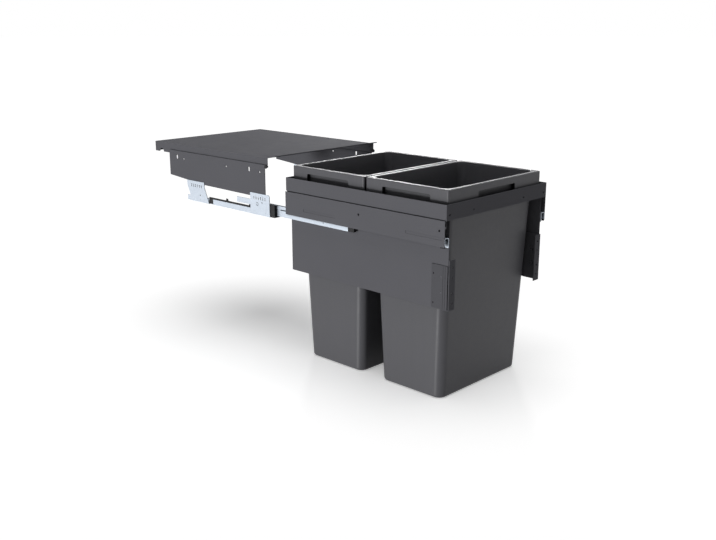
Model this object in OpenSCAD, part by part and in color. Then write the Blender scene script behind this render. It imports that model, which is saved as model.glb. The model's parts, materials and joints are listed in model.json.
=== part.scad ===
// Pull-out frame with two lift-out bins, for a kitchen cabinet.
// It is drawn pulled out: the frame stands in front, and the lid, side plates and
// cabinet rails stay behind it, where they are screwed to the cabinet's walls.
// Millimetres. X is across, Y runs into the cabinet, Z is up.
// Until the last step (place) y = 0 is the back of the front wing, z = 0 is the top
// edge of the frame, and the right-hand side is drawn and mirrored for the left.

/* [Frame] */
// Gap between the side bands and the cabinet's walls
band_gap = 10; // [10:0.1:10.4]
// Length of the frame from the wing to the rear bar
frame_len = 526; // [480:1:620]
// Sheet thickness of the folded frame parts
sheet = 1.5; // [1:0.1:2]
// Height of the front wing
wing_h = 36.5; // [30:0.5:44]
// Thickness of the front wing
wing_t = 2; // [1.5:0.1:3]
// Height of the side band
band_h = 50; // [46:0.5:56]
// Where the side band steps in behind the runner cover, below its top edge
band_step_z = 34.6; // [32:0.1:35]
// How far it steps in
band_step_d = 3; // [2:0.5:3]
// Drop from the frame's top edge to the shelf that the bin rims rest on
shelf_drop = 8; // [6:0.5:12]
// Depth of the wing's shelf and stiffening return behind the front plate
return_d = 8; // [5:0.5:11]
// Depth of the tabs that join wing and rear bar to the side bands
tab_d = 20; // [12:1:30]
// Radius of the bosses between the side bands and the runner covers
boss_r = 4; // [3:0.5:5]
// Holes for the door panel in the front wing, radius
panel_hole_r = 2.5; // [2:0.1:3]
// Distance from the wing's ends to its outer pair of holes
wing_hole_inset = 12; // [8:0.5:20]
// Distance between the inner pair of wing holes
wing_holes_inner = 200; // [120:1:240]
// Depth of the wing holes below the frame's top edge
wing_hole_z = 24; // [20:0.5:27]

/* [Side covers and skirts] */
// Top edge of the runner cover below the frame's top edge
cover_top = 36.2; // [35:0.2:40]
// Bottom edge of the runner cover below the frame's top edge
cover_bottom = 96.6; // [93:0.1:96.6]
// Radius of the through holes in the runner cover
cover_hole_r = 2.7; // [2:0.1:3.5]
// Depth of the cover holes below the frame's top edge
cover_hole_z = 59.6; // [54:0.2:66]
// Length of each pressed groove in the cover
groove_len = 112; // [60:1:140]
// Height of each pressed groove in the cover
groove_h = 7; // [4:0.5:9]
// Depth of the pressed groove in the cover
groove_d = 0.7; // [0.3:0.1:0.9]
// Bottom edge of the skirts below the frame's top edge
skirt_bottom = 249; // [236:1:280]
// Width of the skirt's top flange
skirt_flange = 10; // [6:0.5:11]

/* [Door brackets] */
// Height of the door bracket
bracket_h = 119; // [112:1:124]
// Depth of the door bracket's side leg
bracket_leg = 42; // [36:1:60]
// Width of the door bracket's front flange
bracket_flange = 22; // [18:1:26]
// Thickness of the door bracket
bracket_t = 2; // [1.5:0.1:2.5]
// Height of the outer clamp plate
clamp_h = 104; // [96:1:108]
// Depth of the outer clamp plate along the skirt
clamp_len = 46; // [40:1:56]
// Thickness of the outer clamp plate
clamp_t = 2; // [1.5:0.1:2.5]
// Distance between the two outer rows of flange holes
flange_rows_outer = 85; // [70:1:95]
// Distance between the two inner rows of flange holes
flange_rows_inner = 38; // [30:1:46]
// Radius of the flange holes
flange_hole_r = 2.5; // [2:0.1:3]
// Distance from the skirt's outer face to the flange holes
flange_hole_in = 12; // [9:0.5:14]
// Shank radius of the bracket screws
screw_r = 2.9; // [2.4:0.1:3.4]
// Head radius of the bracket screws
screw_head_r = 5; // [4:0.1:6]
// Head height of the bracket screws
screw_head_h = 3; // [2:0.1:4]

/* [Bins] */
// Gap between the front of the frame and the first rim
rim_gap_front = 6.4; // [5:0.2:10]
// Gap between the rear of the frame and the last rim
rim_gap_rear = 9.6; // [6:0.2:14]
// Gap between the two rims
bin_gap = 6; // [4:0.5:12]
// Height of the rim above the frame's top edge
rim_rise = 30.3; // [26:0.1:32]
// Play between the rim and the inside of the skirts
rim_play = 0; // [0:0.1:2]
// Rim overhang outside the bin wall
rim_over = 9; // [7:0.5:12]
// Wall thickness of the bins
bin_wall = 2.5; // [2:0.1:3.5]
// Floor thickness of the bins
bin_floor = 3; // [2:0.1:5]
// Bottom of the bins below the frame's top edge
bin_bottom = 487; // [360:1:560]
// How much a bin narrows to its floor on each side
taper_x = 16.5; // [6:0.5:26]
// How much a bin shortens to its floor at each end
taper_y = 20.4; // [6:0.2:32]
// Corner radius of the bins
bin_corner = 22; // [14:1:30]
// Corner radius of the rims
rim_corner = 5; // [3:0.5:9]
// Radius of the edge round a bin's floor
floor_edge = 7; // [4:0.5:12]
// Width of the finger notches in the rims
notch_w = 146; // [90:1:150]
// Top of the finger notches above the frame's top edge
notch_top = 14; // [8:0.5:18]

/* [Runners] */
// How far the frame slides out
travel = 566; // [556:1:568]
// Width of the drawer rail
drawer_rail_w = 15; // [15:0.1:15]
// Sheet thickness of the rails
rail_t = 1.5; // [1.4:0.05:1.5]
// Top of the drawer rail below the frame's top edge
drawer_rail_top = 75.8; // [74:0.1:76.5]
// Bottom of the drawer rail below the frame's top edge
drawer_rail_bottom = 93.5; // [91:0.1:93.5]
// How much further the drawer rail's inner leg reaches down
inner_leg_drop = 6; // [0:0.5:7]
// Radius of the drawer rail's upper edges
rail_round = 3.5; // [2:0.1:3.5]
// Diameter of the bearing balls
ball_d = 3; // [2.6:0.1:3.2]
// Clearance over and under the balls
ball_play = 0.1; // [0.05:0.01:0.15]
// Width of the middle rail
middle_w = 9; // [8.6:0.1:9.2]
// Height of the middle rail
middle_h = 27.8; // [26:0.1:28.5]
// Length of the middle rail
middle_len = 376; // [340:1:380]
// Front end of the middle rail when the frame is out
middle_y = 304; // [300:1:320]
// Length of the middle rail's plastic end cap
middle_cap_len = 20; // [10:1:24]
// Length of the cabinet rail
cabinet_rail_len = 360; // [350:1:400]
// Height of the cabinet rail's outer web
cabinet_web_h = 15; // [13.5:0.5:15]
// Height of the cabinet rail's inner web
cabinet_inner_h = 10; // [6:0.5:14]
// Length of the plastic end cap in front of the cabinet rail
front_cap_len = 20; // [12:1:22]
// Height of the plastic end cap in front of the cabinet rail
front_cap_h = 35; // [24:0.5:38]
// Length of the upper ball cage
upper_cage_len = 200; // [150:1:206]
// Length of the lower ball cage
lower_cage_len = 86; // [60:1:88]
// Thickness of the ball cages
cage_t = 0.9; // [0.8:0.05:1]

/* [Soft-close unit] */
// Length of the unit's housing
damper_len = 182; // [176:1:182]
// Travel of the catch
catch_travel = 35; // [20:1:38]
// Length of the catch
catch_len = 14; // [12:0.5:16]
// Height of the ridge along the housing's outer side
ridge_h = 4.9; // [2:0.1:9]
// Radius of the damper cylinder
damper_r = 1.8; // [1.6:0.05:1.85]
// Radius of the damper rod
rod_r = 0.8; // [0.6:0.05:0.9]
// Radius of the closing spring
spring_r = 1.7; // [1.4:0.05:1.8]
// Wire thickness of the closing spring
spring_wire = 0.5; // [0.3:0.05:0.7]

/* [Cabinet side] */
// Inside width of the cabinet, over the wall brackets
cabinet_w = 420; // [378:1:520]
// Thickness of the wall brackets
wall_bracket_t = 2; // [1.5:0.1:2]
// Thickness of the side plates
plate_t = 2; // [1.5:0.1:2]
// Distance from the closed wing's back to the cabinet's front edge
front_setback = 18; // [16:1:24]
// Length of the side plates
plate_len = 426; // [400:1:440]
// Height of a side plate's front end below the lid's seat
plate_front_h = 79; // [74:1:84]
// Height of a side plate below the lid's seat where the rear wall bracket begins
plate_mid_h = 75.8; // [66:0.2:79]
// Height of a side plate's rear end below the lid's seat
plate_rear_h = 63; // [60:1:84]
// Height of the side plates above the lid's seat
plate_rise = 10; // [6:0.5:14]
// Distance between the side plates' two screw holes
plate_hole_span = 336; // [300:1:350]
// Width of the ledge that carries the lid
ledge_w = 6; // [4:0.5:7]
// Length of the front wall bracket
front_bracket_len = 78; // [76:1:90]
// Length of the tongue behind the front wall bracket
tongue_len = 58; // [40:1:70]
// Height of that tongue
tongue_h = 15; // [10:0.5:20]
// Length of the rear wall bracket along its top
rear_bracket_len = 79; // [76:1:90]
// Slant of the rear wall bracket's front edge
rear_slant_front = 20; // [0:1:26]
// Slant of the rear wall bracket's rear edge
rear_slant_rear = 20; // [0:1:30]
// Top of the wall brackets below the frame's top edge
wall_bracket_top = 54.5; // [50:0.5:55]
// Screw hole radius in the side plates
plate_hole_r = 2.5; // [2:0.1:3]
// Screw hole radius in the wall brackets
wall_hole_r = 2.2; // [2:0.1:2.6]
// Radius of the rivets
rivet_r = 2; // [1.5:0.1:2]

/* [Lid] */
// Height of the lid's seat above the frame's top edge
lid_seat = 14.3; // [12:0.1:20]
// Height of the lid's side flanges
lid_flange_h = 28.2; // [24:0.2:34]
// Sheet thickness of the lid
lid_t = 1.5; // [1:0.1:1.6]
// Gap between the lid's flange and the side plate
lid_side_gap = 1.5; // [1:0.1:3]
// Length of the lid's side flanges
lid_len = 508; // [494:1:520]
// How far the lid's front lip reaches in front of the flanges
lip_len = 21; // [10:1:24]
// Rise of the front lip's edge
lip_rise = 6.5; // [3:0.5:9]
// How much the front lip narrows to its edge on each side
lip_inset = 8.5; // [0:0.5:14]
// Rise of the lid's raised platform
platform_rise = 1.5; // [1:0.1:4]
// Width of the flat border round the platform
border_w = 10; // [6:1:16]
// Width of the slope up to the platform
slope_w = 8; // [4:1:14]
// Radius of the round notch in the lid's side flanges
lid_notch_r = 10; // [6:0.5:14]
// Distance from the lid's rear end to that notch
lid_notch_in = 31; // [24:1:60]
// Radius of the lid studs
stud_r = 3; // [2.5:0.1:3.5]

/* [Hidden] */

$fn = 48;
cut = 1;             // how far a cutting body runs past a face
running = 0.05;      // radial clearance of a sliding rod
slack = 0.3;         // clearance beside pieces that slide past each other

// colours
steel_grey = [0.36, 0.36, 0.38];
plastic_grey = [0.33, 0.33, 0.35];
zinc = [0.86, 0.89, 0.92];
black = [0.09, 0.09, 0.10];

// half widths, measured from the middle of the frame
band_u = cabinet_w / 2 - band_gap;
cover_in = band_u + sheet;
cover_out = cover_in + sheet;
runner_u = cover_in - drawer_rail_w / 2;
drawer_rail_in = cover_in - drawer_rail_w;
skirt_u = drawer_rail_in - sheet;
skirt_in = skirt_u - sheet;
rim_u = skirt_in - rim_play;
wall_u = rim_u - rim_over;
shelf_clear = 2;
shelf_in = wall_u + shelf_clear;
bracket_out = cabinet_w / 2;
plate_out = bracket_out - wall_bracket_t;
plate_in = plate_out - plate_t;
lid_u = plate_in - lid_side_gap;

// bins
bin_len = (frame_len - rim_gap_front - rim_gap_rear - bin_gap) / 2;
bin_rear_y = rim_gap_front + bin_len + bin_gap;
rim_t = bin_wall;

// runner heights
ball_gap = ball_d + 2 * ball_play;
middle_top = -drawer_rail_top - rail_t - ball_gap;
middle_bottom = middle_top - middle_h;
rail_floor = middle_bottom - ball_gap;
rail_bottom = rail_floor - rail_t;
web_top = rail_bottom + cabinet_web_h;

// places along the cabinet, with the frame pulled out
cabinet_y = travel + front_setback;
rail_y = cabinet_y + 1;
lid_y0 = cabinet_y + 8;
lid_y1 = lid_y0 + lid_len;
lid_top = lid_seat + lid_flange_h;
plate_y0 = cabinet_y + 16;
plate_y1 = plate_y0 + plate_len;
plate_top = lid_seat + plate_rise;
stud_tab_r = 1.5 * stud_r;
stud_y = plate_y0 - stud_tab_r;
stud_z = plate_top - stud_tab_r;
front_bracket_y = cabinet_y - 2;
rear_bracket_y1 = rail_y + cabinet_rail_len - 3;
rear_bracket_y = rear_bracket_y1 - rear_bracket_len;
wall_bracket_h = -wall_bracket_top - rail_bottom;

// soft-close unit
fit_gap = 0.2;         // play of pieces that sit in or against others
housing_wall = 1;
housing_end_wall = 4;
channel_depth = 6.5;
damper_rear_in = 17;   // from the rear wall bracket's front corner to the housing
catch_in = 89;         // from the housing's rear end to the catch
cylinder_in = 10;      // from the housing's front end to the cylinder
damper_y1 = rear_bracket_y - damper_rear_in;
damper_y0 = damper_y1 - damper_len;
damper_out = bracket_out - wall_bracket_t - rail_t - fit_gap;
damper_in = runner_u + middle_w / 2 + 1.9;
damper_top = web_top + 0.1;
channel_in = damper_in + housing_wall;
channel_out = damper_out - housing_wall;
channel_mid = (channel_in + channel_out) / 2;
channel_z = damper_top - channel_depth;
channel_y1 = damper_y1 - housing_end_wall;
end_block = [damper_y1 - 20, damper_y1 - 1];
catch_y = damper_y1 - catch_in;
catch_lift = fit_gap;  // gap between the catch's plate and the housing's top
catch_plate = 0.8;   // thickness of that plate
finger_len = 8;      // depth of the catch's finger
striker_low = damper_top + catch_lift + catch_plate + slack;
striker_w = 3.4;
striker_y1 = catch_y + catch_len - finger_len + catch_travel - travel - slack;
rod_z = channel_z + damper_r + running;
cylinder_y0 = damper_y0 + cylinder_in;
cylinder_len = 45;
cylinder_end_t = 3;  // thickness of the cylinder's closed end
rod_overlap = 4;     // length of rod inside the cylinder's end wall

// the row's own frame: middle of the length, bottom of the bins
front_y = -wing_t;
mid_y = (front_y + lid_y1) / 2;

module place() {
  translate([0, -mid_y, bin_bottom]) children();
}

module hand(left) {
  if (left) mirror([1, 0, 0]) children();
  else children();
}

// a block from its low corner to its high corner
module block(low, high) {
  translate(low) cube(high - low);
}

// an outline in Y and Z, as thick as from u0 to u1
module side_sheet(u0, u1) {
  translate([u0, 0, 0]) rotate([90, 0, 90]) linear_extrude(u1 - u0) children();
}

// a round bar along X
module bar_x(u0, u1, y, z, r) {
  translate([u0, y, z]) rotate([0, 90, 0]) cylinder(h = u1 - u0, r = r);
}

// a round bar along Y
module bar_y(y0, y1, x, z, r) {
  translate([x, y0, z]) rotate([-90, 0, 0]) cylinder(h = y1 - y0, r = r);
}

// an upright slot in a side sheet, w wide and h high
module slot_2d(y, z, w, h) {
  for (dz = [-1, 1]) translate([y, z + dz * (h - w) / 2]) circle(d = w);
  translate([y - w / 2, z - (h - w) / 2]) square([w, h - w]);
}

// corner points of a rectangle with rounded corners, centred
function arc(cx, cy, r, a0) = [for (i = [0:6]) [cx + r * cos(a0 + i * 15), cy + r * sin(a0 + i * 15)]];
function round_rect(w, l, r) = concat(
  arc(w / 2 - r, l / 2 - r, r, 0), arc(-w / 2 + r, l / 2 - r, r, 90),
  arc(-w / 2 + r, -l / 2 + r, r, 180), arc(w / 2 - r, -l / 2 + r, r, 270));

module round_slab(w, l, r, z, h) {
  translate([0, 0, z]) linear_extrude(h) polygon(round_rect(w, l, r));
}

// frame

// a band that steps in behind the cover, its shelf and the bosses that carry the cover
module side_band(left) {
  step_u = band_u - band_step_d;
  color(steel_grey) place() hand(left) {
    block([band_u - sheet, 0, -band_step_z], [band_u, frame_len, 0]);
    block([step_u - sheet, 0, -band_step_z], [band_u, frame_len, -band_step_z + sheet]);
    block([step_u - sheet, 0, -band_h], [step_u, frame_len, -band_step_z]);
    block([shelf_in, 0, -shelf_drop - sheet], [band_u - sheet, frame_len - sheet, -shelf_drop]);
    for (i = [0:3])
      bar_x(step_u, cover_in, frame_len * (i + 0.5) / 4, -(cover_top + band_h) / 2, boss_r);
  }
}

module groove(y) {
  translate([cover_out - groove_d, y, -cover_hole_z - groove_drop])
    rotate([90, 0, 90])
      linear_extrude(groove_d + cut)
        translate([-groove_len / 2, -groove_h / 2]) square([groove_len, groove_h]);
}

groove_drop = 18;        // from the cover's holes down to its grooves
front_groove_in = 3;     // from the cover's front end to its front groove
rear_groove_in = 68;     // from the cover's rear end to its rear groove
cover_holes_y = [15.4, 264.2];

module runner_cover(left) {
  color(steel_grey) place() hand(left)
    difference() {
      block([cover_in, 0, -cover_bottom], [cover_out, frame_len, -cover_top]);
      for (y = cover_holes_y) bar_x(cover_in - cut, cover_out + cut, y, -cover_hole_z, cover_hole_r);
      groove(front_groove_in + groove_len / 2);
      groove(frame_len - rear_groove_in - groove_len / 2);
    }
}

skirt_front_gap = 1;
skirt_rear_gap = 3;

module skirt(left) {
  color(steel_grey) place() hand(left)
    difference() {
      union() {
        block([skirt_in, skirt_front_gap, -skirt_bottom],
              [skirt_u, frame_len - skirt_rear_gap, -shelf_drop - sheet]);
        block([skirt_u, skirt_front_gap, -shelf_drop - 2 * sheet],
              [skirt_u + skirt_flange, frame_len - skirt_rear_gap, -shelf_drop - sheet]);
      }
      bracket_screw_holes();
    }
}

// cross pieces: a plate, a shelf under the rims, a stiffening return and two end tabs
over_step = band_step_z - sheet - slack;   // height that ends above the bands' step

module cross_piece(half_w, t, shelf_d, h) {
  tab_u = band_u - sheet;
  shelf_u = shelf_in - 0.5;
  block([-half_w, -t, -h], [half_w, 0, 0]);
  block([-shelf_u, 0, -shelf_drop - sheet], [shelf_u, shelf_d, -shelf_drop]);
  block([-shelf_u, 0, -h], [shelf_u, return_d, -h + sheet]);
  for (left = [false, true])
    hand(left)
      block([tab_u - sheet, 0, -over_step], [tab_u, tab_d, -shelf_drop - sheet]);
}

module front_wing() {
  color(steel_grey) place()
    difference() {
      cross_piece(band_u, wing_t, rim_gap_front + rim_over - shelf_clear, wing_h);
      for (gap = [2 * (band_u - wing_hole_inset), wing_holes_inner], s = [-1, 1])
        bar_y(-wing_t - cut, cut, s * gap / 2, -wing_hole_z, panel_hole_r);
    }
}

module rear_bar() {
  color(steel_grey) place()
    translate([0, frame_len - sheet, 0]) mirror([0, 1, 0])
      cross_piece(band_u - sheet, sheet, rim_gap_rear - sheet + rim_over - shelf_clear, over_step);
}

// door brackets

bracket_low = -skirt_bottom;
bracket_mid = bracket_low + bracket_h / 2;
screw_y = 20;

module bracket_screw_holes() {
  for (s = [-1, 1])
    bar_x(skirt_in - bracket_t - cut, skirt_u + clamp_t + cut, screw_y,
          bracket_mid + s * flange_rows_inner / 2, screw_r + 0.1);
}

module door_bracket(left) {
  color(steel_grey) place() hand(left)
    difference() {
      union() {
        block([skirt_in - bracket_t, 0, bracket_low], [skirt_in, bracket_leg, bracket_low + bracket_h]);
        block([skirt_u - bracket_flange, -bracket_t, bracket_low],
              [skirt_u, 0, bracket_low + bracket_h]);
      }
      bracket_screw_holes();
      for (rows = [flange_rows_outer, flange_rows_inner], s = [-1, 1])
        bar_y(-bracket_t - cut, cut, skirt_u - flange_hole_in, bracket_mid + s * rows / 2, flange_hole_r);
    }
}

module clamp_plate(left) {
  low = bracket_low + 2;
  high = low + clamp_h;
  y0 = 1.5;
  hole_y = y0 + clamp_len - 6;
  hole_r = 2;
  line_w = 2.5;
  line_d = 0.5;
  out = skirt_u + clamp_t;
  color(steel_grey) place() hand(left)
    difference() {
      block([skirt_u, y0, low], [out, y0 + clamp_len, high]);
      bracket_screw_holes();
      for (z = [low + 12, high - 22]) bar_x(skirt_u - cut, out + cut, hole_y, z, hole_r);
      for (y = [y0 + 4.5, y0 + 10.5])
        block([out - line_d, y, low - cut], [out + cut, y + line_w, high + cut]);
    }
}

module bracket_screws() {
  color(steel_grey) place()
    for (left = [false, true], s = [-1, 1])
      hand(left) {
        z = bracket_mid + s * flange_rows_inner / 2;
        head_u = skirt_in - bracket_t;
        hex_depth = 1.5;
        hex_r = 2.3;
        difference() {
          bar_x(head_u - screw_head_h, head_u, screw_y, z, screw_head_r);
          translate([head_u - screw_head_h - cut, screw_y, z]) rotate([0, 90, 0])
            cylinder(h = hex_depth + cut, r = hex_r, $fn = 6);
        }
        bar_x(head_u, skirt_u + clamp_t, screw_y, z, screw_r);
      }
}

// bins

// a bin's outside or inside: narrower at its floor, with a rounded edge round the floor
module bin_body(inset, low) {
  top_w = 2 * wall_u - 2 * inset;
  top_l = bin_len - 2 * rim_over - 2 * inset;
  r = bin_corner - inset;
  hull() {
    round_slab(top_w, top_l, r, rim_rise - 0.1, 0.1 + (inset > 0 ? cut : 0));
    for (a = [0:30:90]) {
      in = floor_edge * (1 - cos(a));
      round_slab(top_w - 2 * taper_x - 2 * in, top_l - 2 * taper_y - 2 * in, r - in,
                 low + floor_edge * (1 - sin(a)), 0.1);
    }
  }
}

module notch(angle, reach) {
  rotate([0, 0, angle])
    block([-notch_w / 2, reach - rim_t - 0.5, -shelf_drop - cut], [notch_w / 2, reach + cut, notch_top]);
}

module bin() {
  rim_w = 2 * rim_u;
  difference() {
    union() {
      bin_body(0, -bin_bottom);
      difference() {
        round_slab(rim_w, bin_len, rim_corner, -shelf_drop, rim_rise + shelf_drop);
        round_slab(rim_w - 2 * rim_t, bin_len - 2 * rim_t, rim_corner - rim_t + 0.5,
                   -shelf_drop - cut, rim_rise + shelf_drop + cut - rim_t);
        for (a = [0, 180]) notch(a, bin_len / 2);
        for (a = [90, 270]) notch(a, rim_u);
      }
    }
    bin_body(bin_wall, -bin_bottom + bin_floor);
  }
}

module bin_at(y) {
  color(plastic_grey) place() translate([0, y + bin_len / 2, 0]) bin();
}

module bin_front() {
  bin_at(rim_gap_front);
}

module bin_rear() {
  bin_at(bin_rear_y);
}

// runners

// the drawer rail's section, open below and rounded above, or the room inside it
module rail_arch(inset) {
  r = rail_round - inset;
  w = drawer_rail_w - 2 * inset;
  low = -drawer_rail_bottom - inner_leg_drop - inset;
  shoulder = -drawer_rail_top - rail_round;
  translate([drawer_rail_in + inset, 0]) {
    for (u = [r, w - r]) translate([u, shoulder]) circle(r = r);
    translate([r, shoulder]) square([w - 2 * r, r]);
    translate([0, low]) square([w, shoulder - low]);
  }
}

drawer_rail_len = frame_len - 4;

module drawer_rail(left) {
  outer_low = -drawer_rail_bottom;
  drop = inner_leg_drop + cut;
  color(zinc) place() hand(left)
    translate([0, drawer_rail_len, 0]) rotate([90, 0, 0]) linear_extrude(drawer_rail_len)
      difference() {
        rail_arch(0);
        rail_arch(rail_t);
        translate([cover_in - 2 * rail_t, outer_low - drop]) square([2 * rail_t + cut, drop]);
      }
}

// the hook under the drawer rail's front end
module front_clip(left) {
  low = -drawer_rail_bottom;
  root_len = 4;
  hook_len = 13;
  hook_drop = 6;
  hook_t = 2;
  color(zinc) place() hand(left)
    side_sheet(cover_in - rail_t, cover_in)
      polygon([[0, low], [root_len, low], [root_len + 1.5, low - hook_drop + hook_t + 1],
               [hook_len, low - hook_drop + hook_t], [hook_len, low - hook_drop], [0, low - hook_drop + 1]]);
}

// the block under the drawer rail that pushes the catch
module rail_striker(left) {
  color(zinc) place() hand(left)
    block([cover_in - rail_t, striker_y1 - striker_w, striker_low],
          [cover_in, striker_y1, -drawer_rail_bottom]);
}

// a hollow rail with a stop slot and a tooling hole in its outer side
module middle_rail(left) {
  u0 = runner_u - middle_w / 2;
  u1 = runner_u + middle_w / 2;
  stop_slot = [226, middle_h - 11];
  stop_slot_size = [22, 2.5];
  tool_hole = [87, 8];
  tool_hole_r = 1.6;
  color(zinc) place() hand(left)
    difference() {
      block([u0, middle_y, middle_bottom], [u1, middle_y + middle_len, middle_top]);
      block([u0 + rail_t, middle_y - cut, middle_bottom + rail_t],
            [u1 - rail_t, middle_y + middle_len + cut, middle_top - rail_t]);
      side_sheet(u1 - rail_t - cut, u1 + cut)
        translate([middle_y, middle_bottom]) {
          translate(stop_slot) square(stop_slot_size);
          translate(tool_hole) circle(r = tool_hole_r);
        }
    }
}

module middle_end_cap(left) {
  u0 = runner_u - middle_w / 2;
  plug_len = 12;
  plug_in = rail_t + fit_gap;
  color(black) place() hand(left) {
    block([u0, middle_y - middle_cap_len, middle_bottom], [u0 + middle_w, middle_y, middle_top]);
    block([u0 + plug_in, middle_y, middle_bottom + plug_in],
          [u0 + middle_w - plug_in, middle_y + plug_len, middle_top - plug_in]);
  }
}

skirt_clear = 1;         // gap between a skirt and the cabinet rail

module cabinet_rail(left) {
  inner_u = skirt_u + skirt_clear;
  color(zinc) place() hand(left)
    difference() {
      union() {
        block([plate_out - rail_t, rail_y, rail_bottom], [plate_out, rail_y + cabinet_rail_len, web_top]);
        block([inner_u, rail_y, rail_bottom], [plate_out - rail_t, rail_y + cabinet_rail_len, rail_floor]);
        block([inner_u, rail_y, rail_floor],
              [inner_u + rail_t, rail_y + cabinet_rail_len, rail_bottom + cabinet_inner_h]);
      }
      block([plate_out - rail_t, end_block[0], rail_bottom - cut],
            [plate_out + cut, end_block[1], web_top + cut]);
      for (y = rail_rivets_y)
        bar_x(plate_out - rail_t - cut, plate_out + cut, y, rail_rivet_z, rivet_r);
    }
}

module rail_front_cap(left) {
  y0 = rail_y - front_cap_len;
  inner_u = skirt_u + skirt_clear;
  wall_in = cover_out + 1;
  color(black) place() hand(left) {
    block([wall_in, y0, rail_bottom], [plate_out, rail_y, rail_bottom + front_cap_h]);
    block([inner_u, y0, rail_bottom], [wall_in, rail_y, middle_bottom - 0.5]);
  }
}

// rows of bearing balls, two across and n along
ball_rows = [-2.2, 2.2];

module balls(y0, len, n, z) {
  for (i = [0:n - 1], du = ball_rows)
    translate([runner_u + du, y0 + len * (i + 0.5) / n, z]) sphere(d = ball_d, $fn = 24);
}

module ball_pockets(y0, len, n, z) {
  for (i = [0:n - 1], du = ball_rows)
    translate([runner_u + du, y0 + len * (i + 0.5) / n, z - ball_d])
      cylinder(h = 2 * ball_d, d = ball_d + fit_gap);
}

upper_ball_z = middle_top + ball_gap / 2;
upper_cage_y = middle_y + 6;
upper_n = 5;
lower_ball_z = rail_floor + ball_gap / 2;
lower_cage_y = rail_y + 3;
lower_n = 3;
cage_leg = 11;

// a strip over or under the middle rail with two legs beside it
module cage(y0, len, n, z, dir) {
  inner = middle_w / 2 + 0.25;
  outer = inner + cage_t;
  leg_z = z + dir * cage_leg;
  difference() {
    union() {
      block([runner_u - outer, y0, z - cage_t / 2], [runner_u + outer, y0 + len, z + cage_t / 2]);
      for (u = [runner_u - outer, runner_u + inner])
        block([u, y0, min(z, leg_z)], [u + cage_t, y0 + len, max(z, leg_z)]);
    }
    ball_pockets(y0, len, n, z);
  }
}

module upper_cage(left) {
  color(black) place() hand(left) cage(upper_cage_y, upper_cage_len, upper_n, upper_ball_z, -1);
}

module upper_balls(left) {
  color(zinc) place() hand(left) balls(upper_cage_y, upper_cage_len, upper_n, upper_ball_z);
}

module lower_cage(left) {
  color(black) place() hand(left) cage(lower_cage_y, lower_cage_len, lower_n, lower_ball_z, 1);
}

module lower_balls(left) {
  color(zinc) place() hand(left) balls(lower_cage_y, lower_cage_len, lower_n, lower_ball_z);
}

// soft-close unit

module damper_housing(left) {
  color(black) place() hand(left) {
    difference() {
      block([damper_in, damper_y0, rail_floor], [damper_out, damper_y1, damper_top]);
      block([channel_in, cylinder_y0, channel_z], [channel_out, channel_y1, damper_top + cut]);
    }
    block([channel_out, damper_y0, damper_top], [damper_out, damper_y1, damper_top + ridge_h]);
    block([damper_out, end_block[0] + slack, rail_floor],
          [plate_out - fit_gap, end_block[1] - slack, damper_top]);
  }
}

module damper_cylinder(left) {
  y1 = cylinder_y0 + cylinder_len;
  color(zinc) place() hand(left)
    difference() {
      bar_y(cylinder_y0, y1, channel_mid, rod_z, damper_r);
      bar_y(cylinder_y0 + cylinder_end_t, y1 + cut, channel_mid, rod_z, rod_r + running);
    }
}

module damper_rod(left) {
  color(zinc) place() hand(left) bar_y(cylinder_y0 + rod_overlap, catch_y, channel_mid, rod_z, rod_r);
}

// the spring behind the catch, stretched as it is with the frame out
module closing_spring(left) {
  y0 = catch_y + catch_len;
  color(zinc) place() hand(left)
    difference() {
      bar_y(y0, channel_y1, channel_mid, rod_z, spring_r);
      bar_y(y0 - cut, channel_y1 + cut, channel_mid, rod_z, spring_r - spring_wire);
    }
}

// the catch: a block in the housing's channel, a thin plate that passes under the runner
// cover, a finger inside the cover and a knob outside it
module catch(left) {
  y1 = catch_y + catch_len;
  plate_z = damper_top + catch_lift;
  clear = 0.4;
  in_u = damper_in - clear;
  out_u = channel_out - fit_gap;
  knob_h = 8.6;
  color(black) place() hand(left) {
    block([channel_in + fit_gap, catch_y, channel_z + fit_gap], [out_u, y1, plate_z]);
    block([in_u, catch_y, plate_z], [out_u, y1, plate_z + catch_plate]);
    block([in_u, y1 - finger_len, plate_z], [cover_in - clear, y1, -drawer_rail_bottom - clear]);
    block([cover_out + clear, y1 - finger_len, plate_z], [out_u, y1, -cover_bottom + knob_h]);
  }
}

// cabinet side

bracket_rivet_in = 16;   // from a front wall bracket's end to its rivet on the rail
rear_rivet_in = 19;      // from a rear wall bracket's front corner to its first rivet
rear_rivet_gap = 26;
rail_rivets_y = [
  front_bracket_y + bracket_rivet_in, front_bracket_y + front_bracket_len - bracket_rivet_in,
  rear_bracket_y + rear_rivet_in, rear_bracket_y + rear_rivet_in + rear_rivet_gap
];
rail_rivet_z = rail_bottom + cabinet_web_h / 2;
plate_rivet_in = 28;
plate_rivets_y = [front_bracket_y + plate_rivet_in, front_bracket_y + 2 * plate_rivet_in];
plate_rivet_z = -wall_bracket_top - 4;

slot_w = 3;
slot_h = 9;
slot_pitch = 9;
slot_count = 6;
slot_drop = 13;          // from a wall bracket's top to the middle of its slots
front_slot_in = 17;      // from the bracket's front end to its first slot
rear_slot_in = 13;
front_hole = [30, -24];  // screw hole, from the bracket's front top corner
lance = [49.5, -29];     // lanced tab, from the same corner
lance_r = 4.6;
lance_w = 1.4;
lance_root = 3;
tongue_top = -19;        // top of the tongue, from the bracket's top
rear_kink = -14;         // the rear bracket's edges slant below this
rear_hole = [18, -38.5];

// upright slots along the top of a wall bracket
module bracket_slots(y, z) {
  for (i = [0:slot_count - 1]) slot_2d(y + i * slot_pitch, z, slot_w, slot_h);
}

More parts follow.
